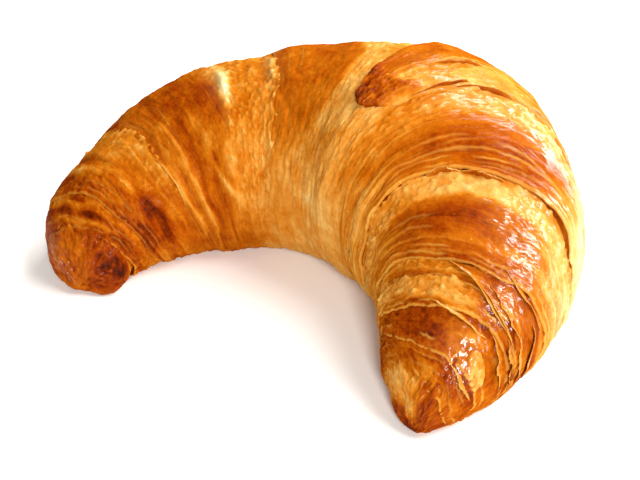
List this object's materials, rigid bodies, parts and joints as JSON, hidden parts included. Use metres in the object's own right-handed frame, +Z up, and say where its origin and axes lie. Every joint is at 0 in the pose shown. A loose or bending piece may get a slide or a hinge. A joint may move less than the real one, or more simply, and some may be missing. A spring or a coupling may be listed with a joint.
{
  "type": "croissant",
  "caption": "Baked crescent roll with stepped, flaky layers across its arms, a tongue on top and two tapered horns; rests on its flat underside.",
  "frame": {"origin": "centre of the bounding box at the flat underside, on the table plane", "axes": "+X from the left horn to the right horn, +Y towards the convex back (both horns point to -Y), +Z up"},
  "size_m": [0.148, 0.1052, 0.0622],
  "materials": {
    "crust": "satin"
  },
  "bodies": {
    "root": {"croissant": "crust"}
  },
  "joints": []
}
